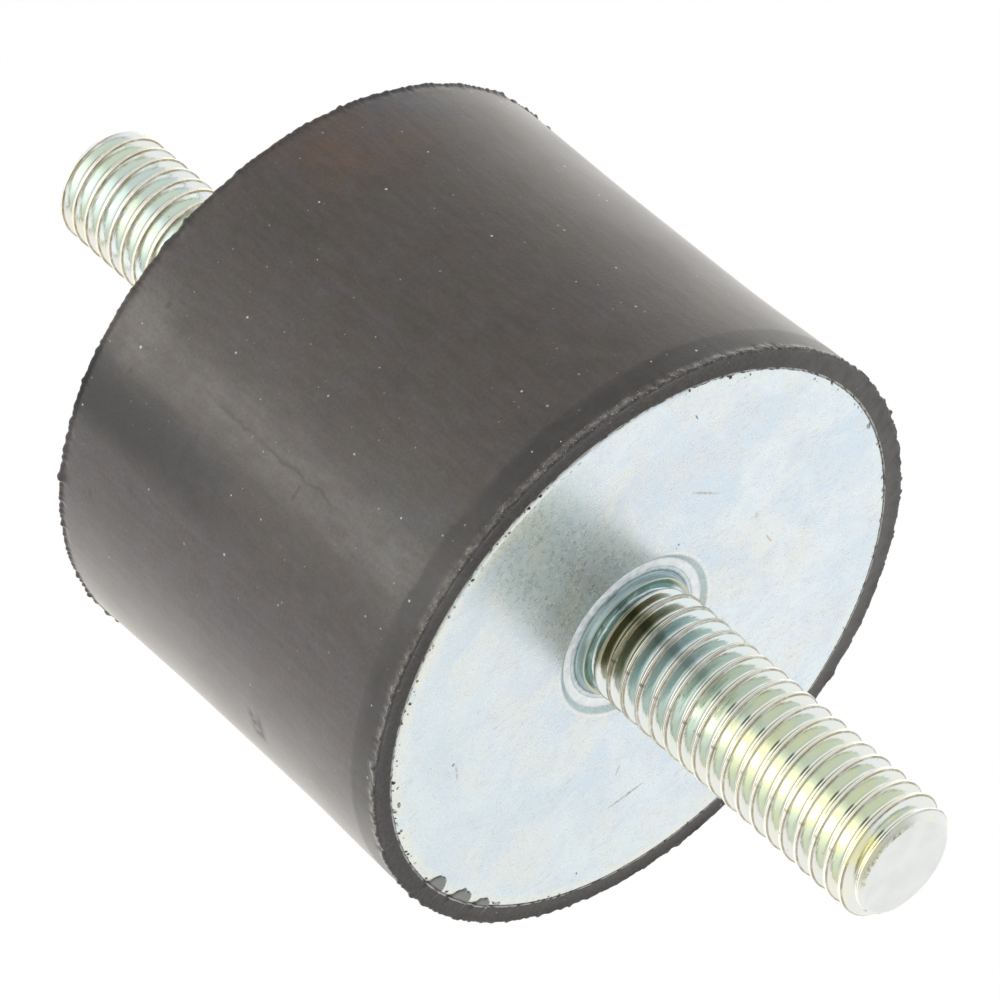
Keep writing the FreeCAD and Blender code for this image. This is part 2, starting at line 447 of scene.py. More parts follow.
class Effects:
    """The node groups that several finishes share, each built once."""

    def __init__(self) -> None:
        """Builds every group."""
        self.place = self.build_place()
        self.specks = self.build_specks()
        self.mottle = self.build_mottle()
        self.mark = self.build_mark()
        self.grain = self.build_grain()

    @staticmethod
    def start(name: str, inputs: dict[str, object], outputs: dict[str, object]) -> tuple[Sketch, dict[str, Signal]]:
        """Starts a group.

        Args:
            name: The group's name.
            inputs: The inputs by name, with their usual values.
            outputs: The outputs by name, with a value of their kind.

        Returns:
            The group's sketch, and its inputs by name.
        """
        tree = bpy.data.node_groups.new(name, "ShaderNodeTree")
        for in_out, titles in (("INPUT", inputs), ("OUTPUT", outputs)):
            for title, value in titles.items():
                kind = SOCKET_KINDS[len(value) if isinstance(value, tuple) else 1]
                socket = tree.interface.new_socket(title, in_out=in_out, socket_type=kind)
                socket.default_value = value
        sketch = Sketch(tree)
        return sketch, sketch.outputs("NodeGroupInput", {})

    def build_place(self) -> bpy.types.NodeTree:
        """Where a point lies on the mount, as seen from the end that it belongs to."""
        s, given = self.start("place_on_mount", {"Turned": 0.0},
                              {"Position": ORIGIN, "Angle": 0.0, "Radius": 0.0, "Height": 0.0})
        feeds = {0: s.make("ShaderNodeTexCoord", {}, "Object"), "Scale": 1 / MM}
        x, y, z = s.split(s.make("ShaderNodeVectorMath", feeds, operation="SCALE"))
        side = given["Turned"] * -2.0 + 1.0
        y = y * side
        z = z * side + given["Turned"] * BODY_HEIGHT
        angle = s.math("ARCTAN2", x * -1.0, y) * (180 / math.pi)
        radius = s.vector("LENGTH", s.join(x, y, 0.0), out=1)
        return s.end_group({"Position": s.join(x, y, z), "Angle": angle, "Radius": radius, "Height": z})

    def build_specks(self) -> bpy.types.NodeTree:
        """Small scattered specks of uneven size and strength."""
        s, given = self.start("scattered_specks", {"Position": ORIGIN, "Cell": 1.0, "Size": 0.1, "Share": 0.3},
                              {"Mask": 0.0})
        cells = s.outputs("ShaderNodeTexVoronoi", {"Vector": given["Position"], "Scale": 1.0 / given["Cell"]})
        pick, size_pick, _ = s.split(cells["Color"])
        near = cells["Distance"] * given["Cell"] / (given["Size"] * (size_pick * 0.8 + 0.4))
        chosen = s.math("LESS_THAN", pick, given["Share"])
        return s.end_group({"Mask": near.fade(0.6, 1.0, 1.0, 0.0) * chosen})

    def build_mottle(self) -> bpy.types.NodeTree:
        """Soft clouds of two colours over a third."""
        s, given = self.start("mottled_tints", {"Position": ORIGIN, "Size": 4.0, "Amount": 1.0,
                                                "Ground": CLEAR_WHITE, "First": CLEAR_WHITE, "Second": CLEAR_WHITE},
                              {"Color": CLEAR_WHITE})
        colour = given["Ground"]
        for offset, tint in ((0.0, "First"), (37.0, "Second")):
            cloud = s.noise(s.vector("ADD", given["Position"], (offset,) * 3), given["Size"], 3.0, 0.55, 0.6)
            colour = s.mix(cloud.fade(0.44, 0.66) * given["Amount"], colour, given[tint])
        return s.end_group({"Color": colour})

    def build_mark(self) -> bpy.types.NodeTree:
        """One broken scratch or spot on a flat face."""
        s, given = self.start("short_scratch", {"Position": ORIGIN, "Centre": ORIGIN, "Slope": 0.0, "Length": 1.0,
                                                "Width": 0.1, "Breaks": 0.5}, {"Mask": 0.0})
        away = s.vector("SUBTRACT", given["Position"], given["Centre"])
        along, across, _ = s.split(s.turned(away, given["Slope"] * (-math.pi / 180)))
        across = across + (s.noise(away, 0.5) - 0.5) * 0.35 * given["Width"]
        squares = (abs(along) / given["Length"]) ** 2.0 + (abs(across) / given["Width"]) ** 2.0
        whole = s.math("SQRT", squares).fade(0.55, 1.0, 1.0, 0.0)
        broken = s.noise(given["Position"], 0.22, 3.0).fade(0.42, 0.56)
        return s.end_group({"Mask": whole * (1.0 - given["Breaks"] * broken)})

    def build_grain(self) -> bpy.types.NodeTree:
        """Fine grain at two sizes, as a height and as a shade."""
        s, given = self.start("fine_grain", {"Position": ORIGIN, "Size": 0.1}, {"Height": 0.0, "Shade": 0.0})
        inverse = 1.0 / given["Size"]
        fine, coarse = (s.make("ShaderNodeTexNoise", {"Vector": given["Position"], "Scale": inverse * factor,
                                                      "Detail": detail})
                        for factor, detail in ((1.0, 2.0), (0.3, 3.0)))
        return s.end_group({"Height": fine * 0.6 + coarse * 0.4, "Shade": coarse})


@dataclass(frozen=True)
class Spot:
    """The point being shaded, as seen from the end of the mount that it belongs to."""

    s: Sketch
    effects: Effects
    position: Signal
    angle: Signal
    radius: Signal
    height: Signal

    @classmethod
    def on(cls, s: Sketch, effects: Effects, turned: float = 0.0) -> "Spot":
        """The point on a piece of the upper end, or of the lower end with turned 1."""
        place = s.group(effects.place, Turned=turned)
        return cls(s, effects, *(place[name] for name in ("Position", "Angle", "Radius", "Height")))

    def noise(self, size: float, detail: float = 2.0, rough: float = 0.5, twist: float = 0.0) -> Signal:
        """Cloudy noise at the point."""
        return self.s.noise(self.position, size, detail, rough, twist)

    def specks(self, cell: float, size: float, share: float) -> Signal:
        """Specks of a size, one in each cell for a share of the cells."""
        return self.s.group(self.effects.specks, Position=self.position, Cell=cell, Size=size, Share=share)["Mask"]

    def mottle(self, size: float, amount: float, ground: object, first: Triple, second: Triple) -> Signal:
        """Clouds of two tints over a ground."""
        return self.s.group(self.effects.mottle, Position=self.position, Size=size, Amount=amount, Ground=ground,
                            First=first, Second=second)["Color"]

    def grain(self, size: float) -> dict[str, Signal]:
        """Fine grain's Height and Shade."""
        return self.s.group(self.effects.grain, Position=self.position, Size=size)

    def unrolled(self, stretch: Triple) -> Signal:
        """The turn, height and radius as a stretched flat place."""
        return self.s.vector("MULTIPLY", self.s.join(self.angle * 0.07, self.height, self.radius), stretch)


def new_surface(name: str) -> tuple[bpy.types.Material, Sketch, bpy.types.Node]:
    """Starts a material.

    Args:
        name: The material's name.

    Returns:
        The material, its sketch and its Principled shader.
    """
    material = bpy.data.materials.new(name)
    material.use_nodes = True
    return material, Sketch(material.node_tree), material.node_tree.nodes["Principled BSDF"]


@dataclass(frozen=True)
class StainOrPaintedLight:
    """One soft patch of another tint on the rubber's wall: a stain, a bloom, a painted highlight or painted shade.
    """

    angle: float
    span: float
    soft_angle: float
    height: float
    rise: float
    soft_height: float
    strength: float
    tint: Triple
    steady: bool = False


@dataclass(frozen=True)
class RubberFinish:
    """Satin black rubber with dust, scuffs and faint brown and blue bloom, and painted highlight, sheen and shade.
    """

    ground: Triple = (0.053, 0.0455, 0.039)
    lilac: Triple = (0.06, 0.055, 0.066)
    rust: Triple = (0.062, 0.043, 0.034)
    dark: Triple = (0.018, 0.018, 0.019)
    # This near black draws the small dark patch, and also painted shade in a band at 29 degrees.
    patch_and_painted_shade: Triple = (0.006, 0.006, 0.006)
    dust: Triple = (0.62, 0.61, 0.58)
    scuff: Triple = (0.15, 0.143, 0.135)
    knife_cut: Triple = (0.12, 0.116, 0.11)
    fin: Triple = (0.26, 0.27, 0.26)
    lip: Triple = (0.6, 0.59, 0.55)
    # This is a painted sheen: a pale tint laid over the rubber where it is seen edge on.
    painted_grazing_sheen: Triple = (1.0, 0.965, 0.945)
    face_depth: float = 0.5
    streak_turn: float = 0.34
    relief: float = 0.000012
    # Stains and blooms, and bands of painted highlight and painted shade, on the rubber's wall.
    stains: tuple[StainOrPaintedLight, ...] = (
        StainOrPaintedLight(67.0, 27.0, 16.0, 15.0, 30.0, 2.0, 0.75, (0.056, 0.051, 0.056)),
        # Painted highlight: a lighter band down the whole wall at 16 degrees, where the softbox is reflected.
        StainOrPaintedLight(16.0, 1.5, 6.0, 15.0, 30.0, 2.0, 0.6, (0.115, 0.104, 0.096), True),
        # Painted shade: dark bands at 29 to 30 degrees down the wall, where the tent's dark lobe is reflected.
        StainOrPaintedLight(29.0, 2.5, 6.0, 4.0, 6.0, 9.0, 0.85, (0.018, 0.017, 0.019), True),
        StainOrPaintedLight(29.0, 2.5, 6.0, 22.0, 6.0, 7.0, 0.5, (0.04, 0.031, 0.027), True),
        StainOrPaintedLight(30.0, 1.0, 5.0, 26.0, 2.0, 3.0, 0.4, (0.03, 0.028, 0.027), True),
        StainOrPaintedLight(-34.0, 4.0, 13.0, 3.2, 0.8, 3.6, 0.85, (0.088, 0.05, 0.032)),
        StainOrPaintedLight(-48.0, 4.0, 14.0, 1.6, 0.8, 2.6, 0.7, (0.044, 0.045, 0.056)),
        # Painted highlight: lighter patches at 12 to 14 degrees, near the lower rim and on the upper flare.
        StainOrPaintedLight(14.0, 1.0, 9.0, 2.0, 0.6, 2.4, 0.5, (0.13, 0.118, 0.112)),
        StainOrPaintedLight(12.0, 3.0, 14.0, 25.5, 1.0, 3.0, 0.35, (0.075, 0.08, 0.082)),
        # Painted shade: a dark band round the front of the upper rim's flare.
        StainOrPaintedLight(5.0, 60.0, 30.0, 29.0, 0.55, 0.4, 0.8, (0.024, 0.021, 0.019), True),
    )
    nicks: tuple[tuple[float, float, float, float], ...] = (
        (9.0, 3.0, 0.5, 0.12), (21.4, 3.1, 0.3, 0.1), (-76.7, 16.2, 0.7, 0.15), (-64.3, 16.3, 0.5, 0.15),
        (47.0, 3.0, 0.5, 0.1), (-56.7, 27.1, 0.4, 0.1), (55.7, 29.3, 0.6, 0.1), (23.3, 9.6, 0.3, 0.1),
        (19.0, 17.8, 1.4, 0.04), (70.0, 16.5, 0.5, 0.15))

    def material(self, effects: Effects) -> bpy.types.Material:
        """Builds the material from the shared node groups."""
        material, s, shader = new_surface("moulded_rubber")
        spot = Spot.on(s, effects)
        angle, radius, height = spot.angle, spot.radius, spot.height
        face = self.face_mask(height)
        scuffs = angle.band(-118.0, 36.0, 36.0) * spot.noise(0.8, 4.0).fade(0.3, 0.65, 0.5)
        cut = spot.noise(0.2, 4.0, 0.7).fade(0.42, 0.6)
        at_plate = height.fade(BODY_HEIGHT - 0.25, BODY_HEIGHT - 0.1)
        lip = radius.band(18.77, 0.03, 0.05) * spot.noise(0.6, 3.0).fade(0.35, 0.55) * at_plate
        # Painted sheen: the facing value lifts the colour towards the rubber's outline, where it is seen at a
        # grazing angle.
        facing = s.make("ShaderNodeLayerWeight", {}, "Facing")
        dark_patch = angle.band(68.0, 2.0, 3.0) * height.band(18.5, 0.25, 0.6) * spot.noise(0.9, 3.0).fade(0.3, 0.5)
        # Painted shade: a darker band round the concave flare below the upper rim.
        painted_flare_shade = height.band(BODY_HEIGHT - 1.5, 0.6, 0.4)
        # Painted shade: a dark band at 29 degrees round the wall, darker towards the bottom.
        shade = angle.band(29.0, 1.0, 8.0) * height.fade(18.0, 2.0, 0.0, 0.9)
        colour = s.layered(self.colour(spot), [
            (face * 0.2, self.dark), (face * scuffs * 0.6, self.scuff), (face * cut * 0.3, self.knife_cut),
            (radius.fade(18.55, 18.68, 1.0, 0.0) * at_plate, self.fin), (lip * 0.75, self.lip),
            (facing ** 5.0 * 0.48, self.painted_grazing_sheen), (painted_flare_shade * 0.5, self.dark),
            ((dark_patch * 0.9).larger(shade), self.patch_and_painted_shade), (self.dust_mask(spot), self.dust)])
        s.fill(shader, {"Base Color": colour,
                        "Roughness": face * 0.2 + spot.noise(4.0, 3.0).fade(0.3, 0.7, 0.39, 0.44),
                        "Normal": self.skin(spot), "IOR": 1.5})
        return material

    def colour(self, spot: Spot) -> Signal:
        """The rubber's colour with its blooms, stains, bands of painted highlight and shade, crease and nicks.

        Args:
            spot: The point being shaded.

        Returns:
            The colour.
        """
        s, angle, height = spot.s, spot.angle, spot.height
        colour = spot.mottle(6.0, 0.22, self.ground, self.lilac, self.dark)
        wander = (spot.noise(3.0, 5.0, 0.6) - 0.5) * 20.0
        steady, loose = wander * 0.3 + angle, angle + wander
        level = wander * 0.12 + height
        for wall_patch in self.stains:
            around = (steady if wall_patch.steady else loose).band(wall_patch.angle, wall_patch.span, wall_patch.soft_angle)
            mask = around * level.band(wall_patch.height, wall_patch.rise, wall_patch.soft_height)
            colour = s.mix(mask * wall_patch.strength, colour, wall_patch.tint)
        colour = spot.mottle(1.6, 0.4, colour, self.lilac, self.rust)
        crooked = spot.noise(1.1, 4.0) * 2.4 + angle
        broken = spot.noise(1.4).fade(0.38, 0.55, 0.2, 1.0)
        crease = crooked.band(17.2, 0.12, 0.4) * height.band(14.5, 5.0, 3.0) * broken
        for where, high, wide, tall in self.nicks:
            crease = crease.larger(crooked.band(where + 1.2, wide, 0.4) * height.band(high, tall, 0.1))
        colour = s.mix(crease * 0.5, colour, self.dark)
        streaks = s.noise(s.join(angle * self.streak_turn, height * 0.2, 0.0), 0.5, 5.0, 0.6)
        uneven = streaks.fade(0.3, 0.7, 0.82, 1.08) + spot.noise(0.22, 3.0, 0.7).fade(0.3, 0.7, -0.12, 0.16)
        return s.product(colour, uneven.grey())

    def face_mask(self, height: Signal) -> Signal:
        """The matte trimmed faces at both ends."""
        low, high = self.face_depth - 0.1, self.face_depth + 0.1
        return height.fade(BODY_HEIGHT - high, BODY_HEIGHT - low).larger(height.fade(low, high, 1.0, 0.0))

    def dust_mask(self, spot: Spot) -> Signal:
        """Pale dust, sparse on the wall and dense along the near rim's flash.

        Args:
            spot: The point being shaded.

        Returns:
            The mask.
        """
        height = spot.height
        wall = (spot.specks(1.0, 0.1, 0.55) * 0.8).larger(spot.specks(0.55, 0.06, 0.35) * 0.35)
        patchy = spot.noise(3.2).fade(0.35, 0.65, 0.15, 1.0) * spot.angle.fade(20.0, 60.0, 1.0, 0.4)
        rim = spot.specks(0.15, 0.06, 0.6) + spot.noise(0.5, 3.0).fade(0.4, 0.65, 0.0, 0.3)
        along_rim = (height.fade(BODY_HEIGHT - 0.75, BODY_HEIGHT - 0.55)
                     * height.fade(BODY_HEIGHT - 0.2, BODY_HEIGHT - 0.05, 1.0, 0.0))
        return (wall * patchy).larger(rim * spot.radius.fade(19.86, 19.95) * along_rim * 0.38)

    def skin(self, spot: Spot) -> Signal:
        """The normal of the fine skin, the flow lines along the wall and the shallow waves."""
        flow = spot.s.noise(spot.s.join(spot.angle * self.streak_turn, spot.height * 0.06, 0.0), 0.9, 4.0)
        return spot.s.bump(self.relief, flow * 1.8 + spot.noise(4.5) * 1.4 + spot.grain(0.14)["Height"] * 2.0)


@dataclass(frozen=True)
class RingLine:
    """One tinted line round the coined ring: a painted highlight, painted shade or the paler coined floor."""

    radius: float
    width: float
    soft: float
    strength: float
    tint: Triple


@dataclass(frozen=True)
class Mark:
    """One scratch, spot or stain on the plate's face, by its middle and its half lengths."""

    x: float
    y: float
    length: float
    width: float
    slope: float = 0.0
    breaks: float = 0.6
    strength: float = 0.8
    dark: bool = False


@dataclass(frozen=True)
class PlateFinish:
    """Clear passivated zinc, mottled blue and cream, with scratches, rim stains and painted highlights, shade and
    glow.
    """

    ground: Triple = (0.84, 0.915, 0.955)
    blue: Triple = (0.67, 0.79, 0.92)
    cream: Triple = (0.88, 0.865, 0.81)
    # This teal is painted shade, laid more thickly towards -X.
    teal: Triple = (0.66, 0.75, 0.75)
    brushed: Triple = (0.62, 0.58, 0.54)
    rim_tint: Triple = (0.88, 0.88, 0.8)
    # This is a painted reflection tint, which only glossy rays see.
    olive_in_reflection: Triple = (0.24, 0.21, 0.11)
    brown: Triple = (0.4, 0.33, 0.27)
    black: Triple = (0.05, 0.05, 0.05)
    # This is the colour of a painted glow: the coined floor emits light.
    coined: Triple = (0.93, 0.98, 1.0)
    brush_slope: float = 26.0
    crumb_radius: float = 18.8
    relief: float = 0.000008
    far_shift: Triple = (61.0, 23.0, 0.0)
    # From outside in: a painted highlight on the ring's outer lip, painted shade on its wall, the paler coined
    # floor, painted shade along the step and painted shade beside the collar.
    rings: tuple[RingLine, ...] = (
        RingLine(5.72, 0.06, 0.08, 0.6, (0.95, 0.93, 0.82)),
        RingLine(5.4, 0.26, 0.08, 0.85, (0.5, 0.6, 0.6)),
        RingLine(4.9, 0.4, 0.1, 0.9, (0.98, 0.99, 1.0)),
        RingLine(4.6, 0.03, 0.05, 0.7, (0.5, 0.58, 0.64)),
        RingLine(4.3, 0.1, 0.12, 0.5, (0.5, 0.6, 0.64)),
    )
    marks: tuple[Mark, ...] = (
        Mark(-7.65, -10.1, 1.8, 0.13, -26.0),
        Mark(-6.75, -7.8, 0.5, 0.06, 24.0, 0.3, 0.7),
        Mark(-12.6, 6.1, 0.85, 0.1, 62.0, 0.6, 0.6),
        Mark(-12.35, 6.95, 0.15, 0.12, 0.0, 0.2, 0.8, True),
        Mark(9.4, -3.7, 0.55, 0.09, 85.0, 0.5, 0.7),
        Mark(9.9, -1.0, 0.3, 0.16, 70.0, 0.7, 0.5),
        Mark(8.8, 4.9, 1.5, 0.12, 114.0, 0.65, 0.7),
        Mark(11.6, 11.55, 0.32, 0.05, 80.0, 0.1, 0.9, True),
        Mark(5.6, 2.9, 0.09, 0.08, 0.0, 0.0, 0.9, True),
        Mark(5.35, 2.75, 0.06, 0.05, 0.0, 0.0, 0.8, True),
        Mark(-13.1, -11.2, 0.12, 0.08, 60.0, 0.0, 0.8, True),
        Mark(-17.35, -6.5, 0.35, 0.25, 100.0, 0.5, 0.9, True),
        Mark(-16.0, 8.9, 0.3, 0.16, 60.0, 0.3, 0.9, True),
        Mark(18.15, -3.2, 0.3, 0.2, 85.0, 0.3, 0.8, True),
        Mark(16.1, -9.2, 0.25, 0.16, 60.0, 0.3, 0.8, True),
        Mark(14.7, -11.3, 0.2, 0.16, 50.0, 0.3, 0.8, True),
    )

    def material(self, name: str, turned: float, effects: Effects) -> bpy.types.Material:
        """Builds the material of one plate.

        Args:
            name: The material's name.
            turned: 1 for the lower plate, 0 for the upper.
            effects: The shared node groups.

        Returns:
            The material.
        """
        material, s, shader = new_surface(name)
        spot = Spot.on(s, effects, turned)
        if turned:
            spot = replace(spot, position=s.vector("ADD", spot.position, self.far_shift))
        grain = spot.grain(0.12)
        colour = self.colour(spot, grain["Shade"])
        if not turned:
            colour = self.marked(spot, colour)
        # Painted reflection: near the ring the plate turns olive where the stud sees it in its reflection.
        mirrored = s.rays()["Is Glossy Ray"] * spot.radius.band(8.4, 2.2, 1.0)
        ring_floor = spot.radius.band(4.72, 0.42, 0.08)
        frost = spot.noise(0.11, 2.0, 0.6).fade(0.46, 0.64, 0.05, 0.5)
        # Painted glow: the coined floor emits a pale light in grainy patches, which brightens it.
        pale = ring_floor * grain["Shade"].fade(0.35, 0.65, 0.06, 0.2)
        s.fill(shader, {"Base Color": s.mix(mirrored * 0.8, self.rim_stains(spot, colour), self.olive_in_reflection),
                        "Roughness": ring_floor * 0.2 + grain["Shade"].fade(0.3, 0.7, 0.24, 0.36),
                        "Metallic": 1.0 - frost.larger(ring_floor * 0.75),
                        "Emission Color": s.product(self.coined, pale.grey()),
                        "Emission Strength": 1.0,
                        "Normal": s.bump(self.relief, grain["Height"])})
        return material

    def colour(self, spot: Spot, shade: Signal) -> Signal:
        """The plating's clouds, brushing, grain, cream rim, painted shade towards -X and painted ring lines.

        Args:
            spot: The point being shaded.
            shade: The grain's shade.

        Returns:
            The colour.
        """
        s, radius = spot.s, spot.radius
        colour = spot.mottle(5.0, 0.55, self.ground, self.cream, self.blue)
        colour = spot.mottle(1.3, 0.25, colour, self.cream, self.blue)
        x, y, _ = s.split(spot.position)
        across = s.turned(s.join(x, y, 0.0), math.radians(self.brush_slope))
        brushed = s.noise(s.vector("MULTIPLY", across, (0.3, 1.0, 1.0)), 0.3, 5.0, 0.65).fade(0.52, 0.7)
        brushed = brushed * spot.noise(2.6).fade(0.4, 0.62, 0.15, 1.0)
        cream = radius.fade(17.7, 18.3) * x.fade(6.0, -8.0, 0.3, 1.0) * spot.noise(1.6, 3.0).fade(0.3, 0.62)
        rust = spot.noise(0.5, 5.0, 0.7).fade(0.6, 0.72) * spot.noise(3.4).fade(0.45, 0.62)
        # Lines of painted highlight and painted shade round the coined ring, and the paler coined floor.
        rings = [(radius.band(line.radius, line.width / 2, line.soft) * line.strength, line.tint)
                 for line in self.rings]
        return s.layered(colour, [
            # The teal layer is painted shade, darkening the plate towards -X.
            (brushed * 0.45, self.brushed), (x.fade(4.0, -16.0, 0.0, 0.3), self.teal), (cream * 0.8, self.rim_tint),
            (rust * 0.14, self.brown), (shade.fade(0.3, 0.55, 0.07, 0.0), self.brown), *rings])

    def marked(self, spot: Spot, colour: Signal) -> Signal:
        """Lays the face's own scratches and spots over a colour.

        Args:
            spot: The point being shaded.
            colour: The plating's colour.

        Returns:
            The colour.
        """
        s = spot.s
        x, y, _ = s.split(spot.position)
        flat = s.join(x, y, 0.0)
        for mark in self.marks:
            mask = s.group(spot.effects.mark, Position=flat, Centre=(mark.x, mark.y, 0.0), Slope=mark.slope,
                           Length=mark.length, Width=mark.width, Breaks=mark.breaks)["Mask"]
            colour = s.mix(mask * mark.strength, colour, self.black if mark.dark else self.brown)
        return colour

    def rim_stains(self, spot: Spot, colour: Signal) -> Signal:
        """Lays crumbs of rubber along the plate's rim, and fine dots, over a colour."""
        ragged = spot.noise(0.9, 3.0) * 0.9 + spot.radius
        near = ragged.fade(self.crumb_radius, self.crumb_radius + 0.2)
        crumbs = spot.specks(0.3, 0.17, 0.5) * near * spot.noise(3.0).fade(0.36, 0.5)
        return spot.s.layered(colour, [(crumbs, self.black), (spot.specks(1.5, 0.07, 0.3) * 0.25, self.brown)])


@dataclass(frozen=True)
class StudFinish:
    """Bright zinc on a rolled thread, with faint yellow, green and blue tints, and painted highlight, shade and
    reflections.
    """

    ground: Triple = (0.83, 0.85, 0.84)
    yellow: Triple = (0.87, 0.87, 0.75)
    teal: Triple = (0.75, 0.84, 0.84)
    # These two are painted highlight on the crests of the upper and lower stud.
    cream: Triple = (0.94, 0.88, 0.7)
    gold: Triple = (0.76, 0.7, 0.54)
    # This brown draws real specks, and also painted shade along the crest edges.
    brown: Triple = (0.34, 0.28, 0.17)
    dark: Triple = (0.16, 0.15, 0.11)
    # These tints colour the stud only where it is seen in its own reflection: painted reflection colours.
    olive_in_reflection: Triple = (0.42, 0.385, 0.25)
    bounce_low: Triple = (0.56, 0.69, 0.67)
    bounce_high: Triple = (0.78, 0.86, 0.72)
    far_bounce: Triple = (0.78, 0.9, 0.9)
    far_shade: Triple = (0.2, 0.23, 0.23)
    # This is painted shade on the root's first turns.
    painted_root_shade: Triple = (0.5, 0.465, 0.32)
    # This is painted shade in a band down the lower turns.
    dark_patch: Triple = (0.5, 0.55, 0.53)
    # This is painted shade on the collar, and the next is a painted highlight on its top edge.
    collar: Triple = (0.4, 0.52, 0.53)
    collar_edge_highlight: Triple = (0.62, 0.57, 0.36)
    # These two are painted highlights on the thread's front: on the turns towards the tip and on the last turn.
    painted_highlight_band: Triple = (0.93, 0.91, 0.64)
    last_turn_highlight: Triple = (0.93, 0.89, 0.42)
    bevel_pale: Triple = (0.85, 0.8, 0.5)
    bevel_dark: Triple = (0.25, 0.24, 0.19)
    tip_face: Triple = (0.85, 0.865, 0.845)
    crest_radius: float = 3.97
    thread_start: float = 30.9
    pitch: float = 1.25
    first_crest: float = 28.971
    relief: float = 0.000006
    # Painted shade lines along both crest edges and the crest's seam: centre, reach and strength.
    crest_shade_lines: tuple[Triple, ...] = ((-0.135, 0.03, 0.9), (0.135, 0.025, 0.85), (0.02, 0.01, 0.4))

    def material(self, name: str, turned: float, effects: Effects) -> bpy.types.Material:
        """Builds the material of one stud.

        Args:
            name: The material's name.
            turned: 1 for the lower stud, 0 for the upper.
            effects: The shared node groups.

        Returns:
            The material.
        """
        material, s, shader = new_surface(name)
        spot = Spot.on(s, effects, turned)
        rolled = s.noise(spot.unrolled((0.25, 3.0, 3.0)), 0.35, 3.0)
        colour = self.crest_lines(spot, self.plating(spot), turned)
        colour = s.mix(spot.specks(0.4, 0.07, 0.12) * 0.5, colour, self.brown)
        colour, disc = self.ends(spot, self.bounced(spot, colour, turned))
        s.fill(shader, {"Base Color": colour, "Metallic": 1.0,
                        "Roughness": disc * 0.35 + rolled.fade(0.3, 0.7, 0.1, 0.2),
                        "Normal": s.bump(self.relief, rolled + spot.grain(0.12)["Height"])})
        return material

    def plating(self, spot: Spot) -> Signal:
        """The zinc's clouds, teal near the root and yellow near the tip."""
        drift = spot.noise(3.0, 3.0) * 3.0 + spot.height
        colour = spot.s.mix(drift.fade(33.5, 44.0), self.teal, self.yellow)
        return spot.s.mix(spot.noise(2.2, 3.0, 0.5, 0.5).fade(0.36, 0.6, 0.25, 0.9), colour, self.ground)

    def crest_lines(self, spot: Spot, colour: Signal, turned: float) -> Signal:
        """Draws a painted highlight on the beaded crest, painted shade along its edges, and dark dots and strokes.

        Args:
            spot: The point being shaded.
            colour: The plating's colour.
            turned: 1 for the lower stud, whose painted crest highlight is duller.

        Returns:
            The colour.
        """
        s, angle, height = spot.s, spot.angle, spot.height
        turns = angle * (-1 / 360) + height * (1 / self.pitch) - self.first_crest / self.pitch
        away = s.math("WRAP", turns, 0.5, -0.5) * self.pitch
        on_thread = (height.fade(self.thread_start - 0.6, self.thread_start)
                     * spot.radius.fade(self.crest_radius - 0.5, self.crest_radius - 0.3))
        beads = s.noise(spot.unrolled((1.0, 0.6, 0.0)), 0.3, 5.0, 0.8).fade(0.42, 0.56, 0.1, 1.0)
        # Painted highlight: a beaded pale line along each crest.
        crest = away.band(0.0, 0.06, 0.04) * beads * on_thread
        colour = s.mix(crest * 0.85, colour, self.gold if turned else self.cream)
        worn = s.noise(spot.unrolled((1.0, 1.0, 0.0)), 1.2, 6.0, 0.75).fade(0.38, 0.58, 0.45, 1.0) * on_thread
        # Painted shade: dark brown lines along the crest edges and seam, broken up by noise.
        for centre, reach, strength in self.crest_shade_lines:
            colour = s.mix(away.band(centre, reach, 0.025) * worn * strength, colour, self.brown)
        dots = angle.band(29.5, 0.4, 2.0) * away.band(0.03, 0.1, 0.12) * worn
        strokes = angle.band(-7.5, 4.0, 5.0) * away.band(0.54, 0.035, 0.035) * height.fade(36.0, 40.0, 0.0, 1.2)
        return s.mix(dots.larger(strokes) * 0.7, colour, self.dark)

    def bounced(self, spot: Spot, colour: Signal, turned: float) -> Signal:
        """Deepens the tint seen in nearby glossy rays: a painted reflection where one flank is seen in another.

        Args:
            spot: The point being shaded.
            colour: The plating's colour.
            turned: 1 for the lower stud, which the softbox doesn't reach.

        Returns:
            The colour.
        """
        s, height = spot.s, spot.height
        if turned:
            tint = s.mix(spot.angle.band(14.0, 14.0, 14.0) * 0.6, self.far_bounce, self.far_shade)
        else:
            tint = s.mix(height.fade(34.0, 46.0), self.bounce_low, self.bounce_high)
            first = height.fade(32.0, 33.4, 1.0, 0.0) * height.fade(30.2, 30.7)
            tint = s.mix(first, tint, self.olive_in_reflection)
        ray = s.rays()
        # Painted reflection: the tint shows only in glossy rays that come from close by.
        seen = ray["Is Glossy Ray"] * ray["Ray Length"].fade(1.8 * MM, 2.8 * MM, 1.0, 0.15)
        return s.mix(seen, colour, s.product(colour, tint))

    def ends(self, spot: Spot, colour: Signal) -> tuple[Signal, Signal]:
        """Paints shade and highlights at the root, collar and thread, and streaks on the tip's bevel.

        Args:
            spot: The point being shaded.
            colour: The plating's colour.

        Returns:
            The colour and the mask of the tip's flat disc.
        """
        s, angle, radius, height = spot.s, spot.angle, spot.radius, spot.height
        seen = s.rays()["Is Camera Ray"]
        # Painted shade: the root's first turns darken towards olive, for camera rays only.
        root = height.fade(31.4, 33.0, 1.0, 0.0) * angle.band(10.0, 28.0, 14.0) * seen * height.fade(30.0, 30.5)
        colour = s.mix(root * 0.9, colour, s.product(colour, self.painted_root_shade))
        # Painted shade: a dark band at -13.5 degrees down the lower turns, for camera rays only.
        side = height.fade(32.0, 40.0, 0.7, 0.0) * angle.band(-13.5, 3.0, 6.0) * seen
        colour = s.mix(side, colour, s.product(colour, self.dark_patch))
